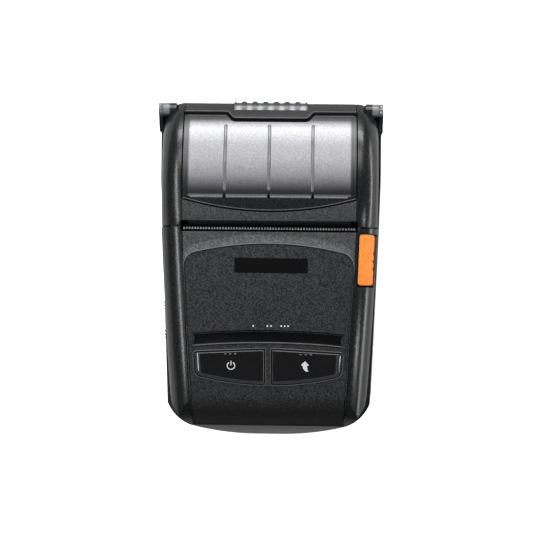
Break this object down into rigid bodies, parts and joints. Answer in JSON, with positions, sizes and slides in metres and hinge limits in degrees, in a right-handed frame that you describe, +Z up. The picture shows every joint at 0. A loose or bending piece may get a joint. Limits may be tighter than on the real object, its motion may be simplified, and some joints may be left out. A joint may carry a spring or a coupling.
{
  "type": "portable receipt printer",
  "caption": "Pocket thermal receipt printer lying on its back: hinged window lid over the paper roll, orange open lever, two keys, status strip and a side port cover.",
  "frame": {"origin": "centre of the footprint on the table", "axes": "+Z up out of the lid's crest, +Y towards the hinge, +X to the right seen from above with the nose towards the viewer"},
  "size_m": [0.0796, 0.119, 0.044],
  "materials": {
    "case_abs": "moulded, fine spark texture",
    "cover_abs": "moulded, fine texture with satin rails",
    "panel_abs": "moulded, fine texture",
    "badge": "bare brushed plate",
    "lens": "dark polished strip",
    "key_abs": "moulded, satin",
    "board": "solder mask",
    "switch": "moulded",
    "led": "clear moulded",
    "lever_orange": "moulded, satin",
    "steel": "drawn or pressed",
    "window_clear": "polished clear moulding",
    "rubber": "ground or moulded rubber",
    "acetal": "natural acetal",
    "sheet": "zinc plated sheet",
    "alu": "extruded",
    "ceramic": "glazed ceramic",
    "brass": "turned or gold plated",
    "inner_plastic": "moulded, plain",
    "paper": "smooth thermal paper",
    "card": "wound card tube"
  },
  "bodies": {
    "base": {"lower_case": "case_abs", "upper_case": "cover_abs", "control_panel": "panel_abs", "badge_plate": "badge", "led_lens": "lens", "panel_board": "board", "tact_switches": "switch", "status_leds": "led", "lever_pin": "steel", "hinge_pins": "steel", "mech_frame": "sheet", "tear_bar": "steel", "head_springs": "steel", "feed_motor": "sheet", "idler_post": "steel", "paper_bay": "inner_plastic", "main_board": "board", "board_chips": "inner_plastic", "usb_socket": "steel", "dc_jack": "inner_plastic", "battery_pack": "inner_plastic", "battery_contacts": "brass", "case_screws": "steel", "board_screws": "steel", "mech_screws": "steel"},
    "lid": {"lid_frame": "cover_abs", "lid_window": "window_clear", "lid_rear_bar": "cover_abs", "lid_liner": "inner_plastic", "platen_bushes": "acetal"},
    "platen": {"platen_roller": "rubber", "platen_shaft": "steel", "platen_gear": "acetal"},
    "idler": {"idler_gear": "acetal"},
    "pinion": {"motor_pinion": "brass"},
    "head": {"head_sink": "alu", "head_plate": "ceramic"},
    "roll": {"paper_roll": "paper", "roll_core": "card"},
    "lever": {"open_lever": "lever_orange"},
    "power_key": {"power_button": "key_abs"},
    "feed_key": {"feed_button": "key_abs"},
    "cover": {"port_cover": "rubber"},
    "latch": {"battery_latch": "case_abs"}
  },
  "joints": [
    {"name": "lid_hinge", "type": "hinge", "parent": "base", "child": "lid", "pos_m": [0, 0.057, 0.03101], "axis": [-1, 0, 0], "range_deg": [0, 100]},
    {"name": "platen_spin", "type": "hinge", "parent": "lid", "child": "platen", "pos_m": [0, 0.0199, 0.0342], "axis": [1, 0, 0], "continuous": true},
    {"name": "idler_spin", "type": "hinge", "parent": "base", "child": "idler", "pos_m": [0, 0.01604, 0.02663], "axis": [1, 0, 0], "continuous": true},
    {"name": "pinion_spin", "type": "hinge", "parent": "base", "child": "pinion", "pos_m": [0, 0.00861, 0.01994], "axis": [1, 0, 0], "continuous": true},
    {"name": "roll_spin", "type": "hinge", "parent": "base", "child": "roll", "pos_m": [0, 0.038, 0.0203], "axis": [1, 0, 0], "continuous": true},
    {"name": "head_tilt", "type": "hinge", "parent": "base", "child": "head", "pos_m": [0, 0.0129, 0.0287], "axis": [1, 0, 0], "range_deg": [0, 2], "stiffness_Nm_per_rad": 0.4},
    {"name": "lever_lift", "type": "hinge", "parent": "base", "child": "lever", "pos_m": [0.03259, -0.00338, 0.0382], "axis": [0.9987, -0.0506, 0], "range_deg": [0, 10], "stiffness_Nm_per_rad": 0.01},
    {"name": "power_press", "type": "slide", "parent": "base", "child": "power_key", "axis": [0, 0.2304, -0.9731], "range_m": [0, 0.0006], "stiffness_N_per_m": 600},
    {"name": "feed_press", "type": "slide", "parent": "base", "child": "feed_key", "axis": [0, 0.2304, -0.9731], "range_m": [0, 0.0006], "stiffness_N_per_m": 600},
    {"name": "cover_swing", "type": "hinge", "parent": "base", "child": "cover", "pos_m": [-0.03719, -0.02144, 0.0152], "axis": [0.0401, -0.9992, 0], "range_deg": [0, 95]},
    {"name": "latch_slide", "type": "slide", "parent": "base", "child": "latch", "axis": [0, 1, 0], "range_m": [0, 0.0015], "stiffness_N_per_m": 300}
  ],
  "couplings": [
    {"joint": "idler_spin", "follows": "platen_spin", "ratio": -1.125},
    {"joint": "pinion_spin", "follows": "platen_spin", "ratio": 2.625}
  ]
}
